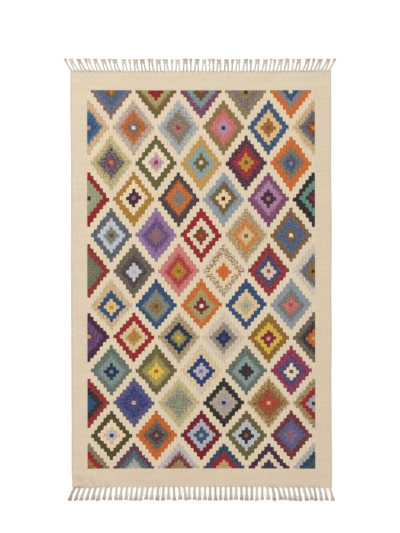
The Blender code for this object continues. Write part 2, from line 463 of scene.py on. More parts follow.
def diamond_centres():
    """Each diamond's cells across and down, its four yarns and its sink, in the chart's order."""
    centres, yarns, sinks = [], [], []
    chance = random.Random(BATCH_SEED)
    for r, row in enumerate(CHART.strip().split("\n\n")):
        row = row.splitlines()
        for k, names in enumerate(row):
            across = (k - (len(row) - 1) / 2) * 2 * HALF_PITCH
            centres.append((across, r * ROW_PITCH))
            yarns.append([spin_yarn(name, chance) for name in names.split()])
            sinks.append(ROWS[r].sink)
    return np.array(centres), yarns, np.array(sinks)


def grid_faces(rows, columns):
    """A grid's quads as corner indices, seen from above."""
    index = np.arange(rows * columns).reshape(rows, columns)
    corners = [index[1:, :-1], index[1:, 1:], index[:-1, 1:], index[:-1, :-1]]
    return np.stack(corners, axis=-1).reshape(-1, 4)


def rim_loop(rows, columns):
    """The grid's outer vertices in order, once round."""
    index = np.arange(rows * columns).reshape(rows, columns)
    return np.concatenate([index[0, :-1], index[:-1, -1], index[-1, :0:-1], index[:0:-1, 0]])


def add_values(mesh, name, kind, domain, values):
    """Writes one value or colour for each face or point."""
    made = mesh.attributes.new(name, kind, domain)
    key = "color" if kind == "FLOAT_COLOR" else "value"
    made.data.foreach_set(key, np.asarray(values, np.float32).ravel())


def make_mesh(name, points, faces, material):
    """A smooth mesh of one material."""
    mesh = bpy.data.meshes.new(name)
    mesh.from_pydata(points.tolist(), [], faces)
    mesh.polygons.foreach_set("use_smooth", np.ones(len(faces), bool))
    mesh.materials.append(material)
    return mesh


def put_in_scene(name, data):
    """A new object that holds the data, in the scene."""
    made = bpy.data.objects.new(name, data)
    bpy.context.scene.collection.objects.link(made)
    return made


def make_cloth(material):
    """One thin closed cloth over the whole woven length, its charted diamonds on its faces."""
    x, y, top, under, soil, downs, columns = cloth_points()
    rows, count = x.shape
    points = np.concatenate([np.stack([x, y, z], -1).reshape(-1, 3) for z in (top, under)])
    upper = grid_faces(rows, count)
    lower = upper[:, ::-1] + rows * count
    loop = rim_loop(rows, count)
    after = np.roll(loop, -1)
    wall = np.stack([loop, after, after + rows * count, loop + rows * count], -1)
    faces = np.concatenate([upper, lower, wall])

    mesh = make_mesh("rug_cloth", points, faces.tolist(), material)
    across = np.array([np.nan if cells is None else cells for _, cells, _ in columns])
    down = np.array([np.nan if cells is None else cells for _, _, cells, _ in downs])
    cells = np.stack(np.broadcast_arrays(across[None, :], down[:, None]), -1).reshape(-1, 2)
    chart_cloth(mesh, faces, np.concatenate([cells, cells]))
    wrapped = [inset is not None and inset < SELVEDGE_WIDTH for _, _, inset in columns]
    add_values(mesh, "selvedge", "FLOAT", "POINT", np.tile(wrapped, 2 * rows))
    # The creases' painted shade, kept on each point of the top and the underside.
    add_values(mesh, "soil", "FLOAT", "POINT", np.tile(soil.ravel(), 2))
    return put_in_scene("rug_cloth", mesh)


def edge_fray(yarns, ring):
    """How far this ring's outer edge frays, in cells: as the rougher of the two yarns there."""
    if ring == 0:
        return yarns[0].rim
    return max(yarns[ring].fray, OUTER_FRAY * yarns[ring - 1].fray)


def chart_cloth(mesh, faces, cells):
    """Gives each face its diamond's yarns, and each corner its cells from the middle of it."""
    centres, yarns, sinks = diamond_centres()
    corner = cells[faces]
    middle = corner.mean(axis=1)
    in_field = ~np.isnan(middle).any(axis=1)
    reach = np.abs(np.nan_to_num(middle)[:, None, :] - centres[None, :, :]).sum(axis=2)
    owner = reach.argmin(axis=1)
    offset = np.where(in_field[:, None, None], corner - centres[owner][:, None, :], OFF_CHART)
    chart = mesh.uv_layers.new(name="chart")
    chart.data.foreach_set("uv", offset.astype(np.float32).ravel())

    seeds = np.random.default_rng(STEP_SEED).uniform(*STEP_SEEDS, len(centres))
    for name, values in (("field", in_field), ("diamond", seeds[owner]), ("sink", sinks[owner])):
        add_values(mesh, name, "FLOAT", "FACE", values)
    for ring in range(len(RINGS)):
        base = np.array([(*linear(y[ring].base), y[ring].mottle) for y in yarns])
        fleck = np.array([(*linear(y[ring].fleck), edge_fray(y, ring)) for y in yarns])
        add_values(mesh, f"ring_{ring}", "FLOAT_COLOR", "FACE", base[owner])
        add_values(mesh, f"fleck_{ring}", "FLOAT_COLOR", "FACE", fleck[owner])


# ---- materials ----


# A noise: how many patches it has in a metre each way, its detail, its roughness and its shift.
Grain = namedtuple("Grain", "scales detail roughness shift")
PATCHES = Grain((7, 11, 1), 3, 0.5, 0)
BANDS = Grain((1.2, 60, 1), 3, 0.5, 3)
STREAKS = Grain((34, 260, 1), 2, 0.6, 7)
BLOTS = Grain((60, 110, 1), 2, 0.5, 11)
THREADS = Grain((110, 760, 1), 1, 0.5, 19)
SPECKS = Grain((75, 105, 1), 2, 0.7, 23)
LUMPS = Grain((75, 105, 1), 2, 0.6, 29)
SIDE_FRAY = Grain((170, 190, 1), 2, 0.5, 31)
HUES = Grain((24, 30, 1), 3, 0.6, 37)
UPRIGHT_FRAY = Grain((170, 190, 1), 2, 0.5, 43)
SLUBS = Grain((70, 210, 1), 0, 0.5, 51)
FUZZ = Grain((900, 900, 900), 2, 0.5, 0)
CORD_BLOTS = Grain((160, 160, 160), 3, 0.5, 0)
FIBRES = Grain((1800, 420, 1800), 2, 0.5, 5)

# How a wool meets the light: how strong and how deep its relief is, its roughness and how much
# that varies, and its sheen.
Surface = namedtuple("Surface", "strength depth roughness varies sheen sheen_roughness")
WEAVE_SURFACE = Surface(0.7, 0.0006, 0.93, 0.10, 0.06, 0.6)
CORD_SURFACE = Surface(0.6, 0.0003, 0.90, 0.12, 0.05, 0.5)
WOOL_SPECULAR = 0.15


def opaque(colour):
    """An sRGB colour as a linear one with its alpha."""
    return (*linear(colour), 1.0)


class Nodes:
    """A material's nodes, added one after another."""

    def __init__(self, name):
        self.material = bpy.data.materials.new(name)
        self.material.use_nodes = True
        self.tree = self.material.node_tree
        self.shader = self.tree.nodes["Principled BSDF"].inputs

    def put(self, socket, value):
        """Links a socket, or sets its value."""
        if isinstance(value, bpy.types.NodeSocket):
            self.tree.links.new(value, socket)
        else:
            socket.default_value = value

    def add(self, kind, inputs=None, **settings):
        """A new node, its settings made and its inputs put."""
        node = self.tree.nodes.new(kind)
        for key, value in settings.items():
            setattr(node, key, value)
        for key, value in (inputs or {}).items():
            self.put(node.inputs[key], value)
        return node

    def math(self, operation, *values, clamp=False):
        """The outcome of an operation on numbers."""
        node = self.add("ShaderNodeMath", operation=operation, use_clamp=clamp)
        for socket, value in zip(node.inputs, values):
            self.put(socket, value)
        return node.outputs[0]

    def times(self, first, *others):
        """All the values multiplied together."""
        for other in others:
            first = self.math("MULTIPLY", first, other)
        return first

    def scaled(self, value, slope, start, clamp=False):
        """start, and slope times the value."""
        return self.math("MULTIPLY_ADD", value, slope, start, clamp=clamp)

    def about(self, value, middle, amount):
        """middle, and amount more or less as a noise value goes up or down from a half."""
        return self.scaled(self.math("SUBTRACT", value, 0.5), amount, middle)

    def humps(self, count):
        """Rounded humps from 0 to 1, one from each whole number of the count to the next."""
        return self.math("ABSOLUTE", self.math("SINE", self.math("MULTIPLY", count, math.pi)))

    def mix(self, share, first, second):
        """Two numbers mixed by a share."""
        made = self.add("ShaderNodeMix", {0: share, 2: first, 3: second}, data_type="FLOAT")
        return made.outputs[0]

    def blend(self, share, first, second, blend_type="MIX"):
        """Two colours mixed by a share."""
        inputs = {0: share, 6: first, 7: second}
        made = self.add("ShaderNodeMix", inputs, data_type="RGBA", blend_type=blend_type)
        return made.outputs[2]

    def shaded(self, colour, tone):
        """A colour made lighter or darker by a tone."""
        grey = self.add("ShaderNodeCombineColor", {0: tone, 1: tone, 2: tone})
        return self.blend(1.0, colour, grey.outputs[0], blend_type="MULTIPLY")

    def attribute(self, name, output="Fac"):
        """What the mesh holds under this name."""
        return self.add("ShaderNodeAttribute", attribute_name=name).outputs[output]

    def place(self):
        """The spot's own place in metres, and its x and y apart."""
        made = self.add("ShaderNodeTexCoord").outputs["Object"]
        split = self.add("ShaderNodeSeparateXYZ", {0: made})
        return made, split.outputs[0], split.outputs[1]

    def noise(self, place, grain):
        """Noise from 0 to 1 of this grain."""
        stretched = self.add(
            "ShaderNodeVectorMath", {0: place, 1: grain.scales, 2: (grain.shift,) * 3},
            operation="MULTIPLY_ADD",
        )
        made = self.add(
            "ShaderNodeTexNoise",
            {"Vector": stretched.outputs[0], "Scale": 1.0, "Detail": grain.detail,
             "Roughness": grain.roughness},
            noise_dimensions="3D",
        )
        return made.outputs[0]

    def wool(self, surface, colour, relief, grain):
        """Joins the colour and the relief to the shader, whose roughness varies with the grain."""
        inputs = {"Strength": surface.strength, "Distance": surface.depth, "Height": relief}
        bump = self.add("ShaderNodeBump", inputs)
        self.put(self.shader["Base Color"], colour)
        self.put(self.shader["Normal"], bump.outputs[0])
        roughness = self.about(grain, surface.roughness, surface.varies)
        self.put(self.shader["Roughness"], roughness)
        self.shader["Specular IOR Level"].default_value = WOOL_SPECULAR
        self.shader["Sheen Weight"].default_value = surface.sheen
        self.shader["Sheen Roughness"].default_value = surface.sheen_roughness
        return self.material


STEP_FILL, STEP_TRIM = 0.26, 0.90  # cells past a ring's reach: all is filled, and all is bare
# How far the steps' edges stray, in cells: (how much, and which of the random draws).
SIDE_STRAY, LEVEL_STRAY = (0.16, 1.5), (0.34, 2.5)


def step_stray(nodes, line, amount, draw):
    """How far a step's edge strays on this line of cells of this diamond."""
    whole = nodes.math("FLOOR", nodes.math("ADD", line, 0.5))
    spot = nodes.add("ShaderNodeCombineXYZ", {0: whole, 1: nodes.attribute("diamond"), 2: draw})
    inputs = {"Vector": spot.outputs[0]}
    white = nodes.add("ShaderNodeTexWhiteNoise", inputs, noise_dimensions="3D")
    return nodes.about(white.outputs[0], 0.0, amount)


def ring_mask(nodes, number, side, level, sideways, upright):
    """1 where a ring's diamond of cells fills the spot, and how many cells out the spot lies."""
    ring = RINGS[number]
    fray = nodes.attribute(f"fleck_{number}", "Alpha")
    drop = nodes.math("ADD", nodes.attribute("sink"), ring.drop) if number else ring.drop
    beside = nodes.math("ABSOLUTE", nodes.scaled(sideways, fray, side))
    below = nodes.scaled(upright, fray, nodes.math("SUBTRACT", level, drop))
    below = nodes.math("ABSOLUTE", below)
    columns = nodes.math("FLOOR", nodes.scaled(beside, ring.narrow, 0.5))
    lines = nodes.math("FLOOR", nodes.scaled(below, ring.squeeze, 0.5))
    count = nodes.math("ADD", columns, lines)
    stepped = nodes.math("LESS_THAN", count, ring.reach + 0.5)
    straight = nodes.scaled(below, ring.squeeze, nodes.math("MULTIPLY", beside, ring.narrow))
    filled = nodes.math("LESS_THAN", straight, ring.reach + STEP_FILL)
    trimmed = nodes.math("LESS_THAN", straight, ring.reach + STEP_TRIM)
    return nodes.math("MAXIMUM", nodes.times(stepped, trimmed), filled), count


def ring_masks(nodes, place):
    """Each ring's mask, the outer ring's cell count, and how far to the side the spot lies."""
    chart = nodes.add("ShaderNodeUVMap", uv_map="chart")
    split = nodes.add("ShaderNodeSeparateXYZ", {0: chart.outputs[0]})
    across, down = split.outputs[0], split.outputs[1]
    side = nodes.math("ADD", across, step_stray(nodes, down, *SIDE_STRAY))
    level = nodes.math("ADD", down, step_stray(nodes, across, *LEVEL_STRAY))
    sideways = nodes.math("SUBTRACT", nodes.noise(place, SIDE_FRAY), 0.5)
    upright = nodes.math("SUBTRACT", nodes.noise(place, UPRIGHT_FRAY), 0.5)
    made = [ring_mask(nodes, k, side, level, sideways, upright) for k in range(len(RINGS))]
    return [mask for mask, _ in made], made[0][1], nodes.math("ABSOLUTE", side)


def ring_colours(nodes, masks, field, base, fleck, mottle):
    """The yarn, its fleck and its mottle at each spot, ring upon ring over the ground's."""
    for ring, mask in enumerate(masks):
        share = nodes.times(mask, field)
        base = nodes.blend(share, base, nodes.attribute(f"ring_{ring}", "Color"))
        fleck = nodes.blend(share, fleck, nodes.attribute(f"fleck_{ring}", "Color"))
        mottle = nodes.mix(share, mottle, nodes.attribute(f"ring_{ring}", "Alpha"))
    return base, fleck, mottle


WARP_PITCH = 0.0040
WEFT_PITCH = 0.0013
WRAP_PITCH = 0.0058  # from one wrap of the selvedge's overcasting to the next
BEAD_HEIGHT, WRAP_HEIGHT = 0.45, 2.2  # in heights of a rib
SLIT_WIDTH = 0.07  # in cells


def weave_height(nodes, x, y, selvedge):
    """A rib over each warp, beaded by the wefts packed on it, and the selvedge's wraps."""
    warps = nodes.math("DIVIDE", x, WARP_PITCH)
    turn = nodes.math("MULTIPLY", nodes.math("FLOOR", warps), 0.5)
    wefts = nodes.math("ADD", nodes.math("DIVIDE", y, WEFT_PITCH), turn)
    beads = nodes.scaled(nodes.humps(wefts), BEAD_HEIGHT, 1 - BEAD_HEIGHT)
    wraps = nodes.humps(nodes.math("DIVIDE", y, WRAP_PITCH))
    woven = nodes.times(nodes.humps(warps), beads)
    return nodes.mix(selvedge, woven, nodes.times(wraps, WRAP_HEIGHT))


def slit_mask(nodes, count, side, field):
    """1 in the narrow slit at each upright step between two colours."""
    part = nodes.math("FRACT", nodes.math("ADD", side, 0.5))
    odd = nodes.math("MODULO", count, 2.0)
    near_side = nodes.mix(odd, nodes.math("SUBTRACT", 1.0, part), part)
    close = nodes.math("LESS_THAN", near_side, SLIT_WIDTH)
    inside = nodes.math("LESS_THAN", count, RINGS[0].reach + 1.5)
    return nodes.times(close, inside, field)


NEAR_FADE = (-0.5, 0.4)  # how the near end's cream sets in along y
HUE_SLOPE, HUE_SHARE = 4.0, 0.8
# The third is how far the selvedge cord's colour goes towards its painted shade grey.
PALE_SHARE, GROUND_MOTTLE, SELVEDGE_SHADE_SHARE = 0.3, 0.4, 0.6
BLOT_SHARE, SPECK_SHARE = 0.5, 0.6  # of the blots over the streaks, and of specks over both
MOTTLE_EDGE, MOTTLE_SLOPE = 9.0, 2.0
# How strongly each unevenness shows in the wool's tone; the slit's darkening is painted shade in
# the slit.
PATCH_TONE, BAND_TONE, THREAD_TONE, SLUB_TONE, SLIT_SHADE = 0.12, 0.14, 0.14, -0.14, -0.35
LUMP_TONES, DYED_TONES = (0.06, 0.98), (1.0, 0.93)  # in undyed and in dyed wool
# Painted shade and light from the weave's relief: darker in the hollows between ribs and beads,
# lighter on their tops and on the selvedge's wraps.
RELIEF_SHADE = (0.10, 0.94)
SLUB_PEAKS = (8.0, -6.1)  # only the noise's highest peaks are slubs
FUZZ_HEIGHT, SLIT_DEPTH = 0.35, -0.8  # in heights of a rib


def cream_ground(nodes, place, y, field):
    """The undyed wool: its own cream in the border, the field and the near end, in soft hues."""
    cream = nodes.blend(field, opaque(BORDER_CREAM), opaque(GROUND_CREAM))
    near = nodes.times(nodes.scaled(y, *NEAR_FADE, clamp=True), nodes.math("SUBTRACT", 1.0, field))
    cream = nodes.blend(near, cream, opaque(NEAR_CREAM))
    hues = nodes.noise(place, HUES)
    for slope, hue in ((+HUE_SLOPE, ROSY_CREAM), (-HUE_SLOPE, GREEN_CREAM)):
        share = nodes.scaled(hues, slope, -slope / 2, clamp=True)
        cream = nodes.blend(nodes.times(share, HUE_SHARE), cream, opaque(hue))
    return cream


def mottled(nodes, place, base, fleck, mottle):
    """The yarn and its fleck, in streaks, blots and specks."""
    blots, specks = nodes.noise(place, BLOTS), nodes.noise(place, SPECKS)
    heather = nodes.mix(BLOT_SHARE, nodes.noise(place, STREAKS), blots)
    heather = nodes.mix(SPECK_SHARE, heather, specks)
    share = nodes.about(mottle, nodes.about(heather, 0.0, MOTTLE_EDGE), MOTTLE_SLOPE)
    return nodes.blend(nodes.math("ADD", share, 0.5, clamp=True), base, fleck)


def weave_tone_and_shade(nodes, place, dyed, threads, height, slit):
    """How light the weave is, from all that is uneven in it, with painted shade in its hollows,
    slits and creases and painted light on its raised tops.
    """
    patches = nodes.about(nodes.noise(place, PATCHES), 1.0, PATCH_TONE)
    slubs = nodes.scaled(nodes.noise(place, SLUBS), *SLUB_PEAKS, clamp=True)
    return nodes.times(
        nodes.about(nodes.noise(place, BANDS), patches, BAND_TONE),
        nodes.about(threads, 1.0, THREAD_TONE),
        nodes.about(nodes.noise(place, LUMPS), 1.0, nodes.mix(dyed, *LUMP_TONES)),
        nodes.mix(dyed, *DYED_TONES),
        # painted shade in the weave's hollows and painted light on its raised tops
        nodes.scaled(height, *RELIEF_SHADE),
        nodes.scaled(slubs, SLUB_TONE, 1.0),
        # painted shade along the creases
        nodes.math("SUBTRACT", 1.0, nodes.attribute("soil")),
        # painted shade in the slits
        nodes.scaled(slit, SLIT_SHADE, 1.0),
    )


def weave_material():
    """The slit-woven wool: charted diamonds in mottled yarns on cream, in a beaded weave."""
    nodes = Nodes("weave_wool")
    place, x, y = nodes.place()
    field, selvedge = nodes.attribute("field"), nodes.attribute("selvedge")
    cream = cream_ground(nodes, place, y, field)
    pale = nodes.blend(PALE_SHARE, cream, opaque(PALE_FLECK))
    masks, count, side = ring_masks(nodes, place)
    base, fleck, mottle = ring_colours(nodes, masks, field, cream, pale, GROUND_MOTTLE)
    # Painted shade along the selvedge cord: its colour and its fleck go part way to a darker grey.
    wrapped = nodes.times(selvedge, SELVEDGE_SHADE_SHARE)
    base = nodes.blend(wrapped, base, opaque(SELVEDGE_SHADE_GREY))
    fleck = nodes.blend(wrapped, fleck, opaque(SELVEDGE_SHADE_GREY))

    threads = nodes.noise(place, THREADS)
    height = weave_height(nodes, x, y, selvedge)
    slit = slit_mask(nodes, count, side, field)
    # The tone holds the wool's own unevenness and the painted shade and light of its relief, slits
    # and creases.
    tone = weave_tone_and_shade(nodes, place, nodes.times(masks[0], field), threads, height, slit)
    colour = nodes.shaded(mottled(nodes, place, base, fleck, mottle), tone)
    relief = nodes.scaled(nodes.noise(place, FUZZ), FUZZ_HEIGHT, height)
    relief = nodes.scaled(slit, SLIT_DEPTH, relief)
    return nodes.wool(WEAVE_SURFACE, colour, relief, threads)


CORD_BLOT_TONE, FIBRE_TONE = 0.30, 0.22


def cord_material():
    """The plied warp yarn of the fringes, coloured by each strand's own dye."""
    nodes = Nodes("warp_wool")
    place = nodes.place()[0]
    blots, fibres = nodes.noise(place, CORD_BLOTS), nodes.noise(place, FIBRES)
    tone = nodes.about(fibres, nodes.about(blots, 1.0, CORD_BLOT_TONE), FIBRE_TONE)
    colour = nodes.shaded(nodes.attribute("dye", "Color"), tone)
    return nodes.wool(CORD_SURFACE, colour, fibres, blots)


# ---- the fringes ----

# How far a strand's tip lies to the right of its root, by the strand's share of the width.
Lean = namedtuple("Lean", "share shift")
FAR_LEANS = (
    Lean(0.00, -0.040), Lean(0.05, -0.034), Lean(0.10, -0.026), Lean(0.17, -0.021),
    Lean(0.22, -0.010), Lean(0.36, -0.008), Lean(0.42, +0.002), Lean(0.68, +0.004),
    Lean(0.74, +0.009), Lean(0.84, +0.012), Lean(0.90, +0.018), Lean(0.94, +0.029),
    Lean(1.00, +0.034),
)
NEAR_LEANS = (
    Lean(0.00, -0.034), Lean(0.07, -0.024), Lean(0.12, -0.018), Lean(0.18, -0.006),
    Lean(0.29, -0.013), Lean(0.38, +0.000), Lean(0.43, +0.011), Lean(0.47, +0.000),
    Lean(0.73, +0.001), Lean(0.80, +0.019), Lean(0.86, +0.013), Lean(0.90, +0.021),
    Lean(0.95, +0.012), Lean(1.00, +0.023),
)

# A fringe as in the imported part, and then its looks: the plies of a cord, the width and height
# of the cord, of its knot and of its brushed end, where the knot starts and ends as shares of
# the length, the yarns of a brush, the dyes, the share of the knots with a reddish tinge, and how
# many tassels are stained and threads are loose.
Fringe = namedtuple(
    "Fringe",
    "side strands first_inset last_inset length ragged groups stray leans tip_width"
    " plies cord fullness knot brush ragged_tips knot_start knot_end yarns dye end_dye blush"
    " stained fluff",
)
FAR_FRINGE = Fringe(
    side=+1, strands=70, first_inset=0.006, last_inset=0.012, length=0.0715, ragged=0.0030,
    groups=(1, 2, 2, 1, 1, 2, 2, 1, 2, 2), stray=0.0035, leans=FAR_LEANS, tip_width=0.0096,
    plies=2, cord=(0.0112, 0.0052), fullness=0.55, knot=(0.0168, 0.0074),
    brush=(0.0212, 0.0044), ragged_tips=(-0.30, 0.16), knot_start=0.64, knot_end=0.80,
    yarns=15, dye=(210, 203, 188), end_dye=(202, 192, 176), blush=0.30, stained=0, fluff=90,
)
NEAR_FRINGE = Fringe(
    side=-1, strands=50, first_inset=0.016, last_inset=0.013, length=0.0815, ragged=0.0030,
    groups=(1,), stray=0.0025, leans=NEAR_LEANS, tip_width=0.0172, plies=3,
    cord=(0.0150, 0.0062), fullness=0.08, knot=(0.0212, 0.0086), brush=(0.0262, 0.0052),
    ragged_tips=(-0.42, 0.08), knot_start=0.58, knot_end=0.76, yarns=19,
    dye=(215, 207, 194), end_dye=(200, 186, 166), blush=0.06, stained=1, fluff=60,
)
BLUSH_DYE = (204, 148, 126)
STAIN_DYE = (176, 140, 92)
STAIN_SHARE = 0.5
BLUSH_TINGE, PLAIN_TINGES = 0.45, (0.0, 0.08)  # how far a knot's end goes towards the blush
CORNER_START, CORNER_BLUSH = 0.40, 0.40  # the share of the width past which more knots blush
GROUP_TINTS = (0.88, 1.10)
TIP_CLEARANCE = 0.0009
ROOT_BEND = 0.3
FRINGE_SEED = 7
ROOT_DEPTH = 0.006  # how far a cord starts inside the weave
ROOT_LIFT = ((-1.0, 0.0022), (-0.75, 0.0042), (-0.40, 0.0050), (-0.10, 0.0042))
ROOT_SPREAD = 0.07  # how far along its length a cord is thicker by its fringe's fullness
SPREAD_ROUNDS, TINY = 60, 1e-12

# Cords: the turn of a ply in widths of the cord, and a ply's width by the number of plies.
CORD_STEPS, CORD_OVERLAP, CORD_TURN, CORD_FADE, PLY_SIDES = 20, 0.05, 1.9, 0.25, 6
PLY_SHARES, PLY_SWELL = {2: 0.5, 3: 0.46}, 1.12
# Knots: the wire in heights of the knot, and how much slimmer each part is at its ends.
PAIR_KNOT, PAIR_GAP, KNOT_SIZES = 1.62, 1.35, (0.88, 1.14)
KNOT_WIRE, KNOT_TURNS, KNOT_STEPS, KNOT_OVERLAP = 0.26, (1.6, 2.1), 26, 0.03
KNOT_BELLY, WIRE_BELLY, CORE_BELLY, WIRE_SIDES, CORE_SIDES = 0.28, 0.15, 0.20, 6, 8
# Brushes: the solid middle by the brush's own size, and then the yarns.
CORE_STEPS, CORE_LENGTH, CORE_WIDTH, CORE_LEVEL, CORE_FLAT = 6, 0.72, 0.30, 0.35, 0.5
LEAST_YARNS, YARN_STEPS, YARN_SIDES, YARN_ROUNDING, YARN_STRAY = 4, 7, 5, 0.35, 0.25
YARN_SWAY, YARN_WIRE, NEAR_WIRE = (0.0002, 0.0007), (0.00075, 0.0011), 1.2
YARN_LEVEL, YARN_TINT, YARN_TAPER, YARN_RIPPLE = (0.25, 0.9), (0.9, 1.1), 0.35, 0.0002
FAN_START, FAN_POWER, FALL_POWER = 0.45, 0.7, 1.5
# The twined cord, and how far in from the long edges and from the end it lies.
TWINING_TINT, TWINING_STEPS, TWINING_SIDES = 1.12, 900, 5
TWINING_WIDTH, TWINING_HEIGHT, TWINING_TURN = 0.0046, 0.0034, 0.0105
TWINING_EDGE, TWINING_INSET, TWINING_DIP = 0.002, 0.0026, 0.0004
# Loose threads, which start and end at these shares of a strand's length.
FLUFF_STARTS, FLUFF_ENDS, FLUFF_STEPS, FLUFF_SIDES = (0.02, 0.9), (0.1, 0.97), 8, 4
FLUFF_LEAN, FLUFF_SWAY, FLUFF_WIRE = 0.012, (0.001, 0.003), (0.0004, 0.0007)
FLUFF_LEVEL = (0.5, 1.0)  # in heights of a cord


def spread_tips(tips, room):
    """The same tips, pushed apart evenly where two would come closer than the room."""
    tips = list(tips)
    for _ in range(SPREAD_ROUNDS):
        for i in range(len(tips) - 1):
            lack = room - (tips[i + 1] - tips[i])
            if lack > 0:
                tips[i] -= lack / 2
                tips[i + 1] += lack / 2
    return tips


def strand_roots(fringe):
    """The x of each strand's root, evenly spaced along the end."""
    y_outer = fringe.side * BODY_LENGTH / 2
    first = edge_x(y_outer, -1) + fringe.first_inset
    last = edge_x(y_outer, +1) - fringe.last_inset
    pitch = (last - first) / (fringe.strands - 1)
    return [first + pitch * k for k in range(fringe.strands)]


def strand_tips(fringe, roots, chance):
    """The x of each strand's tip, and the number of its group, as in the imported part."""
    tips, owners, first, turn = [], [], 0, 0
    room = fringe.tip_width + TIP_CLEARANCE
    while first < len(roots):
        size = min(fringe.groups[turn % len(fringe.groups)], len(roots) - first)
        middle = sum(roots[first : first + size]) / size
        share = 0.5 + middle / BODY_WIDTH
        lean = read_table(fringe.leans, "shift", share) + chance.uniform(-1, 1) * fringe.stray
        for place in range(size):
            tips.append(middle + lean + (place - (size - 1) / 2) * room)
            owners.append(turn)
        first += size
        turn += 1
    return spread_tips(tips, room), owners


def directions(path):
    """At each point of a path: the directions ahead, and level across."""
    ahead = np.gradient(path, axis=0)
    ahead /= np.linalg.norm(ahead, axis=1)[:, None] + TINY
    across = np.cross(ahead, (0.0, 0.0, 1.0))
    across[np.linalg.norm(across, axis=1) < 1e-3] = (1.0, 0.0, 0.0)
    return ahead, across / np.linalg.norm(across, axis=1)[:, None]


class Tubes:
    """Many tubes gathered into one mesh, each point with its dye."""

    def __init__(self):
        self.points, self.faces, self.dyes = [], [], []

    def add(self, path, radii, sides, dyes, flat=1.0):
        """A closed tube along a path of points, its section flattened in height by flat."""
        ahead, across = directions(path)
        up = np.cross(across, ahead)
        turns = 2 * math.pi * np.arange(sides) / sides
        radii = np.broadcast_to(radii, len(path))
        wide = np.outer(radii, np.cos(turns))[..., None] * across[:, None]
        high = np.outer(radii, np.sin(turns))[..., None] * up[:, None] * flat
        index = sum(len(part) for part in self.points) + np.arange(len(path) * sides)
        self.points.append((path[:, None] + wide + high).reshape(-1, 3))
        self.dyes.append(np.repeat(np.broadcast_to(dyes, (len(path), 3)), sides, axis=0))
        index = index.reshape(-1, sides)
        after = np.roll(index, -1, axis=1)
        quads = np.stack([index[:-1], after[:-1], after[1:], index[1:]], -1)
        self.faces += quads.reshape(-1, 4).tolist()
        self.faces += [index[0, ::-1].tolist(), index[-1].tolist()]

    def build(self, name, material):
        """One smooth object of all the tubes, lifted where one would dip into the floor."""
        points = np.concatenate(self.points)
        points[:, 2] = np.maximum(points[:, 2], 0.0)
        mesh = make_mesh(name, points, self.faces, material)
        dyes = np.concatenate(self.dyes)
        dyes = np.concatenate([dyes, np.ones((len(dyes), 1))], axis=1)
        add_values(mesh, "dye", "FLOAT_COLOR", "POINT", dyes)
        return put_in_scene(name, mesh)


def add_plied(tubes, path, width, height, plies, turn, start, sides, dyes):
    """Plies that wind about a path: the whole is as wide and high as asked."""
    steps = np.linalg.norm(np.diff(path, axis=0), axis=1)
    run = np.concatenate([[0], np.cumsum(steps)])
    _, across = directions(path)
    share = PLY_SHARES[plies]
    radii = (width + height) / 4 * share * PLY_SWELL
    for ply in range(plies):
        angle = start + 2 * math.pi * (run / turn + ply / plies)
        offset = across * (np.cos(angle) * width * (1 - share) / 2)[:, None]
        offset[:, 2] += np.sin(angle) * height * (1 - share) / 2
        tubes.add(path + offset, radii, sides, dyes)


def bent(share):
    """How far over to its lean a strand is at this share of its length."""
    return share * (1 + ROOT_BEND * (1 - share))


def strand_path(spot, fringe, shares):
    """Points along a strand: out of the weave, bending over to its lean, then on to the tip."""
    root_x, knot_x, tip_x, length = spot
    root_y = end_y(root_x, fringe.side)
    knot = (fringe.knot_start + fringe.knot_end) / 2
    points = []
    for share in shares:
        if share <= knot:
            x = root_x + (knot_x - root_x) * bent(share) / bent(knot)
        else:
            x = knot_x + (tip_x - knot_x) * (share - knot) / (1 - knot)
        y = root_y + fringe.side * (length * share if share > 0 else share * ROOT_DEPTH)
        points.append((x, y, 0.0))
    return np.array(points)


def along(path, way):
    """The points at these shares of a path's way."""
    known = np.linspace(0, 1, len(path))
    return np.stack([np.interp(way, known, path[:, k]) for k in range(3)], -1)


def bellied(way, amount):
    """1 in the middle of a way, and this much less at both its ends."""
    return 1 - amount * (1 - np.sin(math.pi * way))


def add_knot(tubes, path, fringe, size, chance, dye):
    """A wrapped knot: a cord wound in a steep turn and a half round the strand."""
    width, height = fringe.knot[0] * size, fringe.knot[1]
    wire = height * KNOT_WIRE
    turns = chance.uniform(*KNOT_TURNS)
    start = chance.uniform(0, 2 * math.pi)
    way = np.linspace(0, 1, KNOT_STEPS)
    angle = start + 2 * math.pi * turns * way
    spine = along(path, way)
    spine[:, 0] += np.cos(angle) * (width / 2 - wire) * bellied(way, KNOT_BELLY)
    spine[:, 2] = height / 2 + np.sin(angle) * (height / 2 - wire) * bellied(way, KNOT_BELLY)
    tubes.add(spine, wire * bellied(way, WIRE_BELLY), WIRE_SIDES, dye)
    way = way[::3]
    core = along(path, way)
    core[:, 2] = height / 2
    radii = (width / 2 - wire) * bellied(way, CORE_BELLY)
    tubes.add(core, radii, CORE_SIDES, dye, flat=height / width)


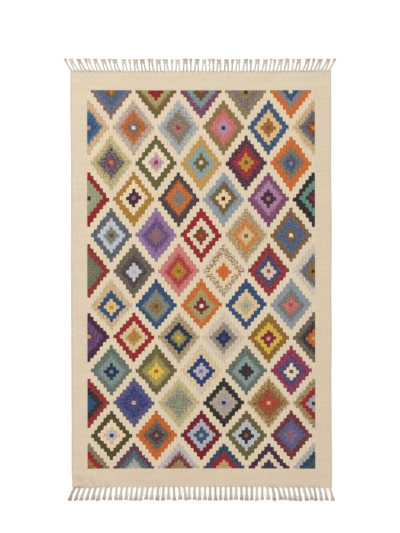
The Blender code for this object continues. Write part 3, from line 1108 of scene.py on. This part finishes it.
def add_brush(tubes, ends, fringe, size, chance, dye, end_dye):
    """The loose yarns past a knot, fanned out, wavy and ragged at their tips."""
    start, ahead = ends[0], ends[1] - ends[0]
    width, height = fringe.brush[0] * size, fringe.brush[1]
    way = np.linspace(0, 1, CORE_STEPS)
    core = start + ahead * way[:, None] * CORE_LENGTH
    core[:, 2] = height * CORE_LEVEL * (1 - 0.5 * way)
    radii = width * CORE_WIDTH * (0.8 + 0.6 * way)
    middle_dye = mixed(dye, end_dye, 0.5)
    tubes.add(core, radii, CORE_SIDES, middle_dye, flat=height * CORE_FLAT / width)
    count = max(LEAST_YARNS, round(fringe.yarns * size))
    way = np.linspace(0, 1, YARN_STEPS)
    fan = FAN_START + (1 - FAN_START) * way**FAN_POWER
    for k in range(count):
        place = (k + 0.5) / count - 0.5 + chance.uniform(-YARN_STRAY, YARN_STRAY) / count
        reach = 1 - YARN_ROUNDING * place**2 + chance.uniform(*fringe.ragged_tips)
        phase, sway = chance.uniform(0, 2 * math.pi), chance.uniform(*YARN_SWAY)
        wire = chance.uniform(*YARN_WIRE) * (NEAR_WIRE if fringe.side < 0 else 1.0)
        level = chance.uniform(*YARN_LEVEL) * height
        x = start[0] + ahead[0] * way * reach + place * width * fan
        x += sway * np.sin(phase + 6 * way)
        y = start[1] + ahead[1] * way * reach
        z = level + (wire * 0.8 - level) * way**FALL_POWER + YARN_RIPPLE * np.sin(phase + 9 * way)
        tint = chance.uniform(*YARN_TINT)
        dyes = [tuple(tint * v for v in mixed(dye, end_dye, w)) for w in way]
        radii = wire * (1 - YARN_TAPER * way)
        tubes.add(np.stack([x, y, np.maximum(z, radii * 0.8)], -1), radii, YARN_SIDES, dyes)


def add_strand(tubes, spot, fringe, chance, dye, end_dye):
    """One plied cord from inside the weave to its knot."""
    outside = np.linspace(0.0, fringe.knot_start + CORD_OVERLAP, CORD_STEPS)
    shares = np.concatenate([[way for way, _ in ROOT_LIFT], outside])
    path = strand_path(spot, fringe, shares)
    width, height = fringe.cord
    path[:, 2] = height / 2
    path[: len(ROOT_LIFT), 2] = [level for _, level in ROOT_LIFT]
    turn = width * CORD_TURN
    width = width * (1 + fringe.fullness * np.exp(-np.abs(shares) / ROOT_SPREAD))
    dyes = [mixed(dye, end_dye, CORD_FADE * max(0.0, s) / fringe.knot_start) for s in shares]
    start = chance.uniform(0, 2 * math.pi)
    add_plied(tubes, path, width, height, fringe.plies, turn, start, PLY_SIDES, dyes)


def add_twining(tubes, fringe, dye):
    """The twined cord that locks the end of the weave, from edge to edge."""
    y_outer = fringe.side * BODY_LENGTH / 2
    left, right = edge_x(y_outer, -1) + TWINING_EDGE, edge_x(y_outer, +1) - TWINING_EDGE
    x = np.linspace(left, right, TWINING_STEPS)
    y = end_y(x, fringe.side) - fringe.side * TWINING_INSET
    path = np.stack([x, y, np.full(TWINING_STEPS, CLOTH_THICKNESS - TWINING_DIP)], -1)
    size = (TWINING_WIDTH, TWINING_HEIGHT)
    add_plied(tubes, path, *size, 2, TWINING_TURN, 0.0, TWINING_SIDES, dye)


def add_fluff(tubes, fringe, chance, dye):
    """Loose threads that have slipped out of the cords and lie across them."""
    left, right = edge_x(fringe.side, -1), edge_x(fringe.side, +1)
    way = np.linspace(0, 1, FLUFF_STEPS)
    for _ in range(fringe.fluff):
        x = chance.uniform(left, right)
        lean = read_table(fringe.leans, "shift", 0.5 + x / BODY_WIDTH)
        lean += chance.gauss(0, FLUFF_LEAN)
        start, end = sorted((chance.uniform(*FLUFF_STARTS), chance.uniform(*FLUFF_ENDS)))
        share = start + (end - start) * way
        sway, phase = chance.uniform(*FLUFF_SWAY), chance.uniform(0, 2 * math.pi)
        y = end_y(x, fringe.side) + fringe.side * fringe.length * share
        across = x + lean * share + sway * np.sin(phase + 4 * way)
        wire = chance.uniform(*FLUFF_WIRE)
        level = fringe.cord[1] * chance.uniform(*FLUFF_LEVEL) * np.sin(math.pi * way) + wire
        tubes.add(np.stack([across, y, level], -1), wire, FLUFF_SIDES, dye)


def group_dyes(fringe, turn, root_x, chance):
    """The dye of a group's cords, and of its knot's end."""
    tint = chance.uniform(*GROUP_TINTS)
    dye, end_dye = (tuple(v * tint for v in linear(c)) for c in (fringe.dye, fringe.end_dye))
    tip_dye = BLUSH_DYE
    if turn < fringe.stained:
        dye, tip_dye = mixed(dye, linear(STAIN_DYE), STAIN_SHARE), STAIN_DYE
    corner = abs(root_x) / BODY_WIDTH > CORNER_START
    blushes = chance.random() < fringe.blush + corner * CORNER_BLUSH
    tinge = BLUSH_TINGE if blushes else chance.uniform(*PLAIN_TINGES)
    return dye, mixed(end_dye, linear(tip_dye), tinge)


def add_group(tubes, fringe, turn, roots, tips, length, chance):
    """The strands that share a knot, then that knot and its brush."""
    root_x, tip_x = sum(roots) / len(roots), sum(tips) / len(tips)
    dye, end_dye = group_dyes(fringe, turn, root_x, chance)
    knot = (fringe.knot_start + fringe.knot_end) / 2
    knot_x = root_x + (tip_x - root_x) * bent(knot)
    size = (1.0 if len(roots) == 1 else PAIR_KNOT) * chance.uniform(*KNOT_SIZES)
    for place, root in enumerate(roots):
        side = place - (len(roots) - 1) / 2
        spot = (root, knot_x + side * fringe.cord[0] * PAIR_GAP, tip_x, length)
        add_strand(tubes, spot, fringe, chance, dye, end_dye)
    spot = (root_x, knot_x, tip_x, length)
    path = strand_path(spot, fringe, (fringe.knot_start, fringe.knot_end))
    add_knot(tubes, path, fringe, size, chance, mixed(dye, end_dye, 0.5))
    ends = strand_path(spot, fringe, (fringe.knot_end - KNOT_OVERLAP, 1.0))
    add_brush(tubes, ends, fringe, size, chance, mixed(dye, end_dye, 0.4), end_dye)


def make_fringe(name, fringe, material):
    """All of one end's cords, knots and brushes, with the twined cord they leave from."""
    chance = random.Random(FRINGE_SEED + fringe.strands)
    looks = random.Random(FRINGE_SEED)
    roots = strand_roots(fringe)
    tips, owners = strand_tips(fringe, roots, chance)
    lengths = [fringe.length + chance.uniform(-1, 1) * fringe.ragged for _ in roots]
    tubes = Tubes()
    for turn in sorted(set(owners)):
        mine = [i for i, owner in enumerate(owners) if owner == turn]
        length = sum(lengths[i] for i in mine) / len(mine)
        roots_here, tips_here = [roots[i] for i in mine], [tips[i] for i in mine]
        add_group(tubes, fringe, turn, roots_here, tips_here, length, looks)
    add_twining(tubes, fringe, tuple(v * TWINING_TINT for v in linear(fringe.dye)))
    add_fluff(tubes, fringe, looks, linear(fringe.end_dye))
    return tubes.build(name, material)


# ---- floor, light and camera ----

PIXEL = 0.005846  # metres of cloth that a pixel of the picture shows
PICTURE_HEIGHT = 533
CAMERA_HEIGHT = 6.0
CAMERA_SPOT = (-0.0068, 0.0725)
SENSOR = 36.0
FLOOR_HALF, FLOOR_LEVEL = 300.0, -0.0003
FLOOR_WHITE, FLOOR_GLOW = (0.96, 0.96, 0.96, 1.0), 0.16
WHITE = (1.0, 1.0, 1.0, 1.0)
SKY_STRENGTH = 0.78
LAMP_SIZE, LAMP_ENERGY, LAMP_SPOT = 3.0, 135.0, (-2.8, 3.4, 4.9)


def make_floor():
    """A plain white floor a hair below the rug's underside."""
    nodes = Nodes("floor_white")
    nodes.shader["Base Color"].default_value = FLOOR_WHITE
    nodes.shader["Roughness"].default_value = 1.0
    nodes.shader["Specular IOR Level"].default_value = 0.0
    nodes.shader["Emission Color"].default_value = WHITE
    nodes.shader["Emission Strength"].default_value = FLOOR_GLOW
    corners = np.array([(-1, -1, 0), (1, -1, 0), (1, 1, 0), (-1, 1, 0)]) * FLOOR_HALF
    corners[:, 2] = FLOOR_LEVEL
    mesh = make_mesh("floor", corners, [(0, 1, 2, 3)], nodes.material)
    floor = put_in_scene("floor", mesh)


def make_light():
    """White light from all round, and a broad soft lamp from the far left."""
    world = bpy.data.worlds.new("studio")
    world.use_nodes = True
    background = world.node_tree.nodes["Background"]
    background.inputs["Color"].default_value = WHITE
    background.inputs["Strength"].default_value = SKY_STRENGTH
    bpy.context.scene.world = world
    lamp = bpy.data.lights.new("softbox", "AREA")
    lamp.shape = "RECTANGLE"
    lamp.size, lamp.size_y = LAMP_SIZE, LAMP_SIZE
    lamp.energy = LAMP_ENERGY
    made = put_in_scene("softbox", lamp)
    made.location = LAMP_SPOT
    made.rotation_mode = "QUATERNION"
    made.rotation_quaternion = (-Vector(LAMP_SPOT)).to_track_quat("-Z", "Y")


def make_camera():
    """Straight above, framed as the picture is."""
    data = bpy.data.cameras.new("camera")
    data.sensor_width = SENSOR
    data.lens = SENSOR * CAMERA_HEIGHT / (PICTURE_HEIGHT * PIXEL)
    camera = put_in_scene("camera", data)
    camera.location = (*CAMERA_SPOT, CLOTH_THICKNESS + CAMERA_HEIGHT)
    bpy.context.scene.camera = camera


def main():
    """Builds the rug and its stage, hangs each piece under the root's empty, and hides the
    imported part it stands in for.
    """
    bpy.context.scene.view_settings.view_transform = "Standard"
    make_camera()
    make_floor()
    make_light()
    cord = cord_material()
    cloth = make_cloth(weave_material())
    far = make_fringe("far_cords", FAR_FRINGE, cord)
    near = make_fringe("near_tassels", NEAR_FRINGE, cord)
    for piece, node, slot in (
        (cloth, "rug_body", "weave"),
        (far, "fringe_far", "warp_cord"),
        (near, "fringe_near", "warp_cord"),
    ):
        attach(piece, "root")
        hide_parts(node)


main()
